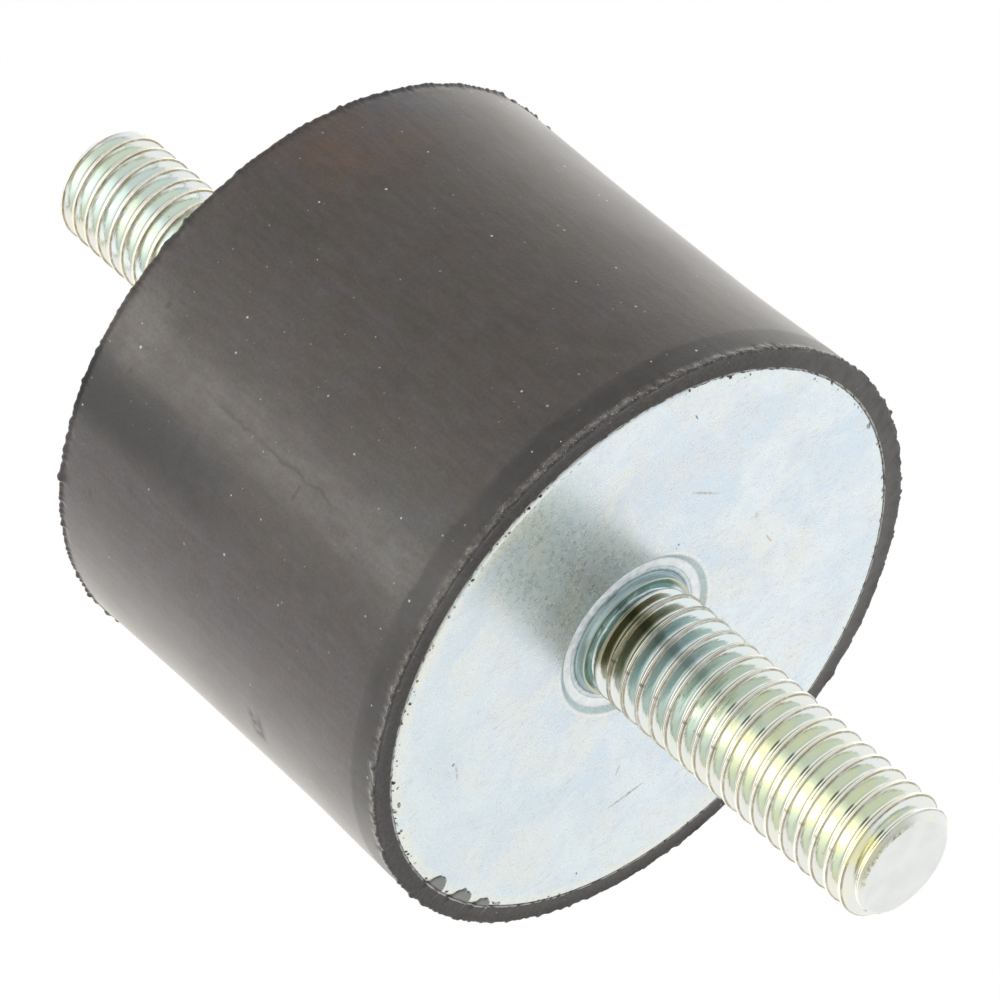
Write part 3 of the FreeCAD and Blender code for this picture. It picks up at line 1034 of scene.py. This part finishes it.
        # Painted shade: the collar turns dark teal, with a painted highlight along its top edge.
        collar = height.fade(29.76, 29.82, 1.0, 0.0) * radius.fade(3.7, 3.8)
        disc = radius.fade(3.04, 3.12, 1.0, 0.0) * height.fade(52.6, 52.7)
        bevel = (height.fade(52.0, 52.3) - disc) * angle.band(5.0, 30.0, 25.0)
        streaks = s.noise(spot.unrolled((1.0, 0.8, 0.8)), 0.3, 5.0, 0.65)
        colour = s.layered(colour, [
            (collar * 0.9, self.collar), (radius.band(4.0, 0.06, 0.05) * collar * 0.8, self.collar_edge_highlight),
            # Painted highlight: a yellow band at 13 degrees on the turns towards the tip.
            (height.fade(36.0, 43.0) * angle.band(13.0, 8.0, 15.0) * 0.5, self.painted_highlight_band),
            # Painted highlight: a yellow patch on the last turn at 14 degrees.
            (height.band(51.9, 0.4, 0.5) * angle.band(14.0, 10.0, 14.0) * 0.45, self.last_turn_highlight),
            (bevel * streaks.fade(0.5, 0.6, 0.0, 0.6), self.bevel_pale),
            (bevel * radius.fade(3.4, 3.2) * streaks.fade(0.54, 0.4, 0.15, 0.7), self.bevel_dark)])
        cloud = spot.noise(1.6, 3.0).fade(0.3, 0.7, 0.97, 1.03)
        return s.mix(disc, colour, s.product(self.tip_face, cloud.grey())), disc


@dataclass(frozen=True)
class Fin:
    """A thin flap of rubber that lies on the upper plate."""

    angle: float
    half_width: float
    reach: float


@dataclass
class RubberBody:
    """The moulded cylinder with its flared rims, flash and two pockets."""

    waist_radius: float = 19.74
    rim_radius: float = 19.98
    flash_radius: float = 20.08
    plate_radius: float = 18.8
    plate_edge_round: float = 0.4
    plate_back: float = 2.0
    land_radius: float = 16.4
    head_seat: float = 2.9
    head_end: float = 5.3
    head_radius: float = 6.35
    head_round: float = 0.5
    box_limit: float = 20.14
    far_shrink: float = 0.1
    segments: int = 1200
    lip: tuple[Point, ...] = ((18.8, 0.42), (18.78, 0.27), (18.72, 0.16), (18.70, 0.11))
    face: tuple[Point, ...] = ((18.78, 0.09), (18.95, 0.11), (19.3, 0.15), (19.65, 0.15), (19.88, 0.12))
    flare: tuple[Point, ...] = (
        (1.0, 0.58), (0.96, 0.78), (0.94, 1.05), (0.92, 1.45), (0.89, 1.95), (0.84, 2.6), (0.76, 3.3),
        (0.65, 4.2), (0.5, 5.4), (0.3, 6.8), (0.13, 8.2), (0.04, 9.6), (0.0, 11.0), (0.0, 13.0))
    fins: tuple[Fin, ...] = (Fin(179.6, 0.85, 0.85), Fin(188.8, 0.95, 0.8), Fin(196.0, 0.7, 0.55))
    lip_start: float = 18.65
    near_crest: float = 20.05
    far_crest: float = 19.95
    finish: RubberFinish = field(default_factory=RubberFinish)

    def half(self, shrink: float) -> list[Point]:
        """One half of the half section, from the axis out and round to the waist.

        Args:
            shrink: How much smaller its rim is than the widest one.

        Returns:
            Radius and depth below that end's land of each corner.
        """
        edge = self.plate_radius - self.plate_edge_round
        head_centre = (self.head_radius - self.head_round, self.head_round - self.head_end)
        back_centre = (edge, self.plate_edge_round - self.plate_back)
        pocket = [(0.0, self.head_end), (3.5, self.head_end)]
        pocket += flipped(arc(head_centre, self.head_round, -90, 0, 4))
        pocket += [(self.head_radius, self.head_seat), (self.land_radius, self.plate_back), (edge, self.plate_back)]
        pocket += flipped(arc(back_centre, self.plate_edge_round, -60, 0, 3))
        flash = [(20.0, 0.10), (20.05, 0.15), (self.flash_radius, 0.23), (20.06, 0.31), (20.02, 0.39), (20.0, 0.48)]
        flash = [(r - shrink, d) for r, d in flash]
        rise = self.rim_radius - shrink - self.waist_radius
        wall = [(self.waist_radius + rise * share, d) for share, d in self.flare]
        return [*pocket, *self.lip, *self.face, *flash, *wall]

    def build(self) -> bpy.types.Object:
        """Turns the body, leaves its rims as the trimming knife did, and leans it off the axis.

        Returns:
            The body.
        """
        upper = [(r, BODY_HEIGHT - depth) for r, depth in self.half(0.0)]
        lower = list(reversed(self.half(self.far_shrink)))
        section = [*upper, (self.waist_radius, BODY_HEIGHT / 2), *lower]
        piece = Lathe.half_section("rubber_cylinder", section)
        Lathe.sweep(piece, self.segments)
        corners = coordinates(piece)
        for end in End:
            self.trim_rim(corners, end)
        outside = np.clip(np.hypot(corners[:, 0], corners[:, 1]) - 19.0, 0.0, 0.5) * 2
        corners[:, 0] += outside * (0.05 + 0.04 * np.clip((corners[:, 2] - 24) / 6, 0.0, 1.0))
        corners[:, 1] -= outside * 0.05 * np.clip((corners[:, 2] - 26) / 4, 0.0, 1.0)
        corners[:, :2] = np.clip(corners[:, :2], -self.box_limit, self.box_limit)
        set_coordinates(piece, corners)
        return piece

    def trim_rim(self, corners: np.ndarray, end: End) -> None:
        """Makes one rim's flash and lip uneven.

        Args:
            corners: The body's corners, which are moved.
            end: Which rim.
        """
        near = end is End.UPPER
        sign, land = (-1.0, BODY_HEIGHT) if near else (1.0, 0.0)
        layer, crest = (3.0, self.near_crest) if near else (71.0, self.far_crest)
        radius = np.hypot(corners[:, 0], corners[:, 1])
        depth = (corners[:, 2] - land) * sign
        for i in np.nonzero((depth < 1.3) & (radius > self.lip_start))[0]:
            x, y, _ = corners[i]
            angle = math.atan2(y, x)
            r, d = radius[i], depth[i]
            past_flash = 1.0 if d < 0.45 else max(0.0, 1 - (d - 0.45) / 0.3)
            flash = max(0.0, 1.0 - abs(r - crest) / 0.2) * past_flash
            lip = max(0.0, 1.0 - (r - self.lip_start) / 0.25) if d < 0.3 else 0.0
            move_r, move_d = self.unevenness(angle, layer, flash, lip, d)
            wave = 0.025 * ripple(angle, 20, 3.0, layer + 9) * (1 - flash)
            new_r = r + move_r + (wave if r > 19 else 0.0)
            new_d = max(d + move_d, 0.02 if r > 18.85 else -0.02)
            reach = self.fin_reach(angle) if near and r < 19.2 and d < 0.14 else 0.0
            if reach > 0:
                new_r -= reach * min(1.0, (19.3 - r) / 0.6)
                flat = -0.015 - 0.6 * (r - self.lip_start) * (r < 18.8) - 0.06 * (r > 18.8)
                new_d += (flat - new_d) * min(1.0, reach * 4)
            corners[i] = new_r * math.cos(angle), new_r * math.sin(angle), land + sign * new_d

    @staticmethod
    def unevenness(angle: float, layer: float, flash: float, lip: float, depth: float) -> tuple[float, float]:
        """How far a corner of the rim is moved.

        Args:
            angle: Its angle in radians.
            layer: The rim's own course of noise.
            flash: How much it belongs to the flash.
            lip: How much it belongs to the lip on the plate.
            depth: Its depth below the plate's land.

        Returns:
            The move outwards and the move downwards.
        """
        torn = ripple(angle, 20, 0.9, layer) * 0.1 + ripple(angle, 20, 0.3, layer + 1) * 0.12
        nib = max(0.0, ripple(angle, 20, 0.7, layer + 2) - 0.35) * 0.5
        hairy = max(0.0, math.cos(angle + 0.65)) ** 2
        nib += hairy * (max(0.0, ripple(angle, 20, 0.28, layer + 11) - 0.2) * 0.45 - 0.03)
        wander = ripple(angle, 20, 6.0, layer + 3) * 0.06
        sag = ripple(angle, 20, 1.3, layer + 4) * 0.08 + ripple(angle, 20, 0.4, layer + depth * 2) * 0.04
        chew = ripple(angle, 18.7, 0.8, layer + 5) * 0.13 + ripple(angle, 18.7, 0.26, layer + 6) * 0.16
        chew -= max(0.0, ripple(angle, 18.7, 0.45, layer + 7) - 0.25) * 0.6
        return flash * (torn + nib + wander - 0.03) + lip * chew, flash * sag

    def fin_reach(self, angle: float) -> float:
        """How far the fins reach in over the plate at an angle in radians."""
        reach = 0.0
        for fin in self.fins:
            gap = abs(math.remainder(angle - math.radians(fin.angle), FULL_TURN)) * self.plate_radius
            if gap < fin.half_width:
                rough = 1 + 0.12 * ripple(angle, 18.7, 0.5, 40.0)
                reach = max(reach, fin.reach * rough * (1 - (gap / fin.half_width) ** 2.4) ** 0.6)
        return reach

    def dress(self, piece: bpy.types.Object, effects: Effects) -> None:
        """Gives the body its finish and hides the CAD node that it replaces."""
        stand_for(piece, "rubber_body", self.finish.material(effects))


@dataclass
class DishedPlate:
    """The steel disc set in each end, dished towards its coined ring."""

    radius: float = 18.8
    edge_round: float = 0.4
    thickness: float = 2.0
    dish_start: float = 17.9
    dish_depth: float = 0.9
    dish_power: float = 1.25
    dish_steps: int = 26
    ring_radius: float = 5.65
    ring_depth: float = 0.3
    ring: tuple[Point, ...] = (
        (4.2, -0.03), (4.54, -0.03), (4.58, -0.025), (4.62, -0.005), (4.66, 0.0), (5.12, 0.0), (5.17, 0.006),
        (5.2, 0.025), (5.25, 0.07), (5.5, 0.25), (5.54, 0.275), (5.58, 0.288))
    hole_radius: float = 4.2
    land_radius: float = 16.4
    segments: int = 360
    finish: PlateFinish = field(default_factory=PlateFinish)

    def half_section(self) -> list[Point]:
        """The closed half section, from the hole's top edge outwards and back underneath.

        Returns:
            Radius and depth below the land of each corner.
        """
        floor = self.dish_depth + self.ring_depth
        points = [(r, floor - rise) for r, rise in self.ring]
        run = self.dish_start - self.ring_radius
        for i in range(1, self.dish_steps + 1):
            depth = self.dish_depth * (1 - i / self.dish_steps) ** self.dish_power
            points.append((self.ring_radius + run * i / self.dish_steps, depth))
        edge = self.radius - self.edge_round
        points += flipped(arc((edge, -self.edge_round), self.edge_round, 90, 0, 8))
        points += flipped(arc((edge, self.edge_round - self.thickness), self.edge_round, 0, -90, 4))
        points += [(self.land_radius, self.thickness), (self.hole_radius, self.thickness + self.dish_depth)]
        return [*points, points[0]]

    def build(self) -> bpy.types.Object:
        """Turns the upper plate."""
        section = [(r, BODY_HEIGHT - depth) for r, depth in self.half_section()]
        piece = Lathe.half_section("plate_upper", section)
        Lathe.sweep(piece, self.segments)
        return piece

    def dress(self, piece: bpy.types.Object, end: End, effects: Effects) -> None:
        """Gives a plate its finish and hides the CAD node that it replaces."""
        material = self.finish.material(f"zinc_plate_{end.value}", float(end is End.LOWER), effects)
        stand_for(piece, f"{end.value}_plate", material)


@dataclass
class ThreadedStud:
    """The staked stud: a rolled right-hand thread, a short collar and a round head."""

    pitch: float = 1.25
    crest_radius: float = 3.97
    crest_half_width: float = 0.11
    root_round: float = 0.18
    first_turn: float = 28.0335
    turns: int = 21
    steps: int = 96
    tip: float = 52.8
    tip_radius: float = 3.08
    neck_radius: float = 3.38
    neck_top: float = 29.88
    collar_top: float = 29.76
    collar_radius: float = 4.2
    head_seat: float = 27.5
    head_end: float = 25.1
    head_radius: float = 6.35
    head_round: float = 0.5
    cut_threshold: float = 1e-8
    finish: StudFinish = field(default_factory=StudFinish)

    def thread_section(self) -> list[Point]:
        """One pitch of the thread, from root to root over the crest.

        Returns:
            Radius and height of each corner.
        """
        slope = math.radians(60)
        half_pitch = self.pitch / 2
        edge = half_pitch - self.crest_half_width
        flank = edge - self.root_round * math.sin(slope)
        rise = flank * math.tan(slope)
        root = self.crest_radius - 0.02 - rise - self.root_round / 2
        half = [(root + self.root_round * (1 - math.cos(a)), self.root_round * math.sin(a))
                for a in (math.radians(15 * i) for i in range(5))]
        foot = half[-1]
        half += [(foot[0] + rise * k, foot[1] + flank * k) for k in (0.25, 0.5, 0.75, 0.95)]
        half += [(self.crest_radius - 0.012, edge + 0.012), (self.crest_radius, edge + 0.035),
                 (self.crest_radius, half_pitch - 0.045), (self.crest_radius - 0.018, half_pitch - 0.014)]
        other = [(r, self.pitch - z) for r, z in reversed(half)]
        return [(r, z + self.first_turn) for r, z in half + other]

    def build(self) -> bpy.types.Object:
        """Screws the thread's section up the stud and closes both ends.

        Returns:
            The upper stud.
        """
        piece = Lathe.half_section("stud_upper", self.thread_section())
        Lathe.sweep(piece, self.steps, self.turns, self.pitch)
        self.press_ends(piece)
        self.close_tip()
        self.close_root()
        bpy.ops.object.shade_smooth()
        return piece

    def press_ends(self, piece: bpy.types.Object) -> None:
        """Brings the thread down to the tip's bevel and to the neck, and wears its crest.

        Args:
            piece: The screwed thread.
        """
        corners = coordinates(piece)
        radius = np.hypot(corners[:, 0], corners[:, 1])
        angle = np.arctan2(corners[:, 1], corners[:, 0])
        height = corners[:, 2]
        worn = radius.copy()
        for i in np.nonzero(radius > self.crest_radius - 0.05)[0]:
            where = Vector((math.cos(angle[i]) * 9, math.sin(angle[i]) * 9, height[i] * 0.8))
            worn[i] -= 0.012 + 0.012 * noise.noise(where)
        bevel = self.tip_radius + 0.1 + np.clip(self.tip - height, 0.0, None) * 0.92
        neck_rise = np.clip((height - self.neck_top) / 0.95, 0.0, 1.0)
        neck = self.neck_radius + (self.crest_radius + 0.02 - self.neck_radius) * np.sqrt(neck_rise)
        worn = np.minimum(np.minimum(worn, bevel), neck)
        worn = np.where(height < self.neck_top + 0.03, self.neck_radius, worn)
        worn = np.where(height > self.tip - 0.06, self.tip_radius + 0.1, worn)
        corners[:, 0] = worn * np.cos(angle)
        corners[:, 1] = worn * np.sin(angle)
        set_coordinates(piece, corners)

    def cut(self, height: float, keep_below: bool) -> None:
        """Cuts the thread being edited across at a height, and selects the new edge."""
        bpy.ops.mesh.select_all(action="SELECT")
        bpy.ops.mesh.bisect(plane_co=(0, 0, height * MM), plane_no=(0, 0, 1), clear_outer=keep_below,
                            clear_inner=not keep_below, threshold=self.cut_threshold)

    def close_tip(self) -> None:
        """Cuts the thread at the tip and closes it with a flat, softly edged disc."""
        bpy.ops.object.mode_set(mode="EDIT")
        self.cut(self.tip - 0.05, keep_below=True)
        rings = ((0.07, 0.025), (0.02, 0.006), (-0.05, 0.0), (-0.12, 0.004), (-0.2, 0.014), (-0.5, 0.02))
        Lathe.draw_loop([(self.tip_radius + out, self.tip - down) for out, down in rings]
                        + [(1.2, self.tip - 0.02), (0.0, self.tip - 0.02)])

    def close_root(self) -> None:
        """Cuts the thread at the neck and draws the collar and the head from it."""
        self.cut(self.neck_top, keep_below=False)
        top, collar, head = self.collar_top, self.collar_radius, self.head_radius
        rings = [(self.neck_radius + 0.02, top - 0.02), (self.neck_radius + 0.1, top - 0.06),
                 (3.8, top - 0.05), (3.92, top - 0.01)]
        rings += arc((collar - 0.16, top - 0.1), 0.1, 90, 20, 5)
        rings += [(collar + 0.02, top - 0.4), (collar + 0.06, top - 0.5), (collar + 0.14, top - 0.56),
                  (collar, top - 0.62), (collar, self.head_seat + 0.1), (collar, self.head_seat),
                  (head - 0.05, self.head_seat), (head, self.head_seat - 0.05)]
        rings += arc((head - self.head_round, self.head_end + self.head_round), self.head_round, 0, -90, 5)
        rings += [(2.0, self.head_end), (0.0, self.head_end)]
        Lathe.draw_loop(rings)
        Lathe.close_shell()

    def dress(self, piece: bpy.types.Object, end: End, effects: Effects) -> None:
        """Gives a stud its finish and hides the CAD node that it replaces."""
        material = self.finish.material(f"zinc_stud_{end.value}", float(end is End.LOWER), effects)
        stand_for(piece, f"{end.value}_stud", material)


@dataclass(frozen=True)
class Glow:
    """One soft patch of the light tent, brighter or darker than the rest."""

    direction: Triple
    reach: float
    soft: float
    change: float


@dataclass
class Studio:
    """The white tent, the floor and the camera."""

    floor_height: float = -22.4
    floor_size: float = 3000.0
    shadow_share: float = 0.06
    tent: float = 1.0
    lens: float = 202.852
    elevation: float = 33.4276
    roll: float = 130.592
    distance: float = 335.116
    target: Triple = (0.8509, -0.4870, 15.9378)
    warm: Triple = (1.0, 0.985, 0.95)
    cool: Triple = (0.955, 0.98, 1.0)
    floor_glow: Triple = (1.0, 0.98, 0.94)
    glows: tuple[Glow, ...] = (
        Glow((-0.467, 0.692, -0.551), 6.0, 10.0, 2.6),
        Glow((-0.4175, 0.723, -0.551), 15.0, 40.0, 0.7),
        Glow((0.286, 0.785, -0.551), 2.0, 14.0, -0.2),
        Glow((-0.737, 0.392, -0.551), 2.0, 12.0, -0.25),
        Glow((0.64, -0.537, -0.551), 8.0, 25.0, 0.6),
        Glow((-0.64, -0.537, -0.551), 8.0, 25.0, 0.4),
        Glow((-0.8, -0.15, -0.551), 10.0, 28.0, 0.3),
        Glow((0.26, 0.77, 0.58), 7.0, 12.0, -0.4),
    )
    camera_side: float = 0.36

    def build(self) -> None:
        """Sets up the floor, the light and the camera."""
        self.lay_floor()
        self.light_tent()
        self.set_camera()
        bpy.context.scene.view_settings.view_transform = "Standard"

    def lay_floor(self) -> None:
        """Lays a pale floor under the lower stud, which takes the mount's shadow."""
        unselect_all()
        bpy.ops.mesh.primitive_plane_add(size=self.floor_size * MM, location=(0, 0, 0))
        floor = bpy.context.object
        floor.name = "studio_floor"
        floor.data.transform(Matrix.Translation((0, 0, self.floor_height * MM)))
        material, s, shader = new_surface("pale_floor")
        s.fill(shader, {"Base Color": (0.9, 0.9, 0.9), "Roughness": 0.9})
        lit = shader.outputs[0]
        clear = s.make("ShaderNodeEmission", {"Strength": 1.02})
        faint = s.make("ShaderNodeMixShader", {0: self.shadow_share, 1: clear, 2: lit})
        mixed = s.make("ShaderNodeMixShader", {0: s.rays()["Is Camera Ray"], 1: lit, 2: faint})
        s.feed(material.node_tree.nodes["Material Output"].inputs[0], mixed)
        floor.data.materials.append(material)
        floor.visible_glossy = floor.visible_diffuse = floor.visible_shadow = False

    def light_tent(self) -> None:
        """Lights the mount from a white tent with a softbox and a dark camera side."""
        world = bpy.data.worlds.new("light_tent")
        world.use_nodes = True
        bpy.context.scene.world = world
        s = Sketch(world.node_tree)
        direction = s.vector("NORMALIZE", s.make("ShaderNodeTexCoord", {}, "Generated"))
        level: object = self.tent
        for glow in self.glows:
            nearness = s.vector("DOT_PRODUCT", direction, Vector(glow.direction).normalized(), out=1)
            core = math.cos(math.radians(glow.reach))
            edge = math.cos(math.radians(glow.reach + glow.soft))
            level = nearness.fade(edge, core) * glow.change + level
        side, towards, up = s.split(direction)
        level = up.fade(-0.1, 0.25) * towards.fade(-0.35, 0.35) * -self.camera_side + level
        tint = s.mix(side.fade(-0.8, 0.8), self.warm, self.cool)
        tint = s.mix(up.fade(-0.35, 0.0), self.floor_glow, tint)
        seen = s.rays()["Is Camera Ray"]
        strength = s.make("ShaderNodeMix", {0: seen, 2: level, 3: 1.0}, data_type="FLOAT")
        s.fill(world.node_tree.nodes["Background"], {"Color": s.mix(seen, tint, WHITE), "Strength": strength})

    def set_camera(self) -> None:
        """Puts the camera where the photograph was taken from."""
        data = bpy.data.cameras.new("photo_camera")
        data.lens = self.lens
        data.sensor_width = 36.0
        data.clip_end = 10.0
        camera = bpy.data.objects.new("photo_camera", data)
        bpy.context.scene.collection.objects.link(camera)
        tilt, roll = math.radians(self.elevation), math.radians(self.roll)
        level = Vector((-1, 0, 0))
        lift = Vector((0, -math.sin(tilt), math.cos(tilt)))
        back = Vector((0, math.cos(tilt), math.sin(tilt)))
        right = level * math.cos(roll) + lift * math.sin(roll)
        up = lift * math.cos(roll) - level * math.sin(roll)
        place = (Vector(self.target) + back * self.distance) * MM
        turn = Matrix((right, up, back)).transposed().to_4x4()
        camera.matrix_world = Matrix.Translation(place) @ turn
        bpy.context.scene.camera = camera


def main() -> None:
    """Builds the mount piece by piece and sets it in its studio."""
    logging.basicConfig(level=logging.INFO, format="%(name)s: %(message)s")
    effects = Effects()
    body = RubberBody()
    rubber = body.build()
    body.dress(rubber, effects)
    log.info("%s: %d corners", rubber.name, len(rubber.data.vertices))
    for maker, lower_name in ((DishedPlate(), "plate_lower"), (ThreadedStud(), "stud_lower")):
        upper = maker.build()
        for piece, end in ((upper, End.UPPER), (turned_over(upper, lower_name), End.LOWER)):
            maker.dress(piece, end, effects)
            log.info("%s: %d corners", piece.name, len(piece.data.vertices))
    Studio().build()


if __name__ == "__main__":
    main()
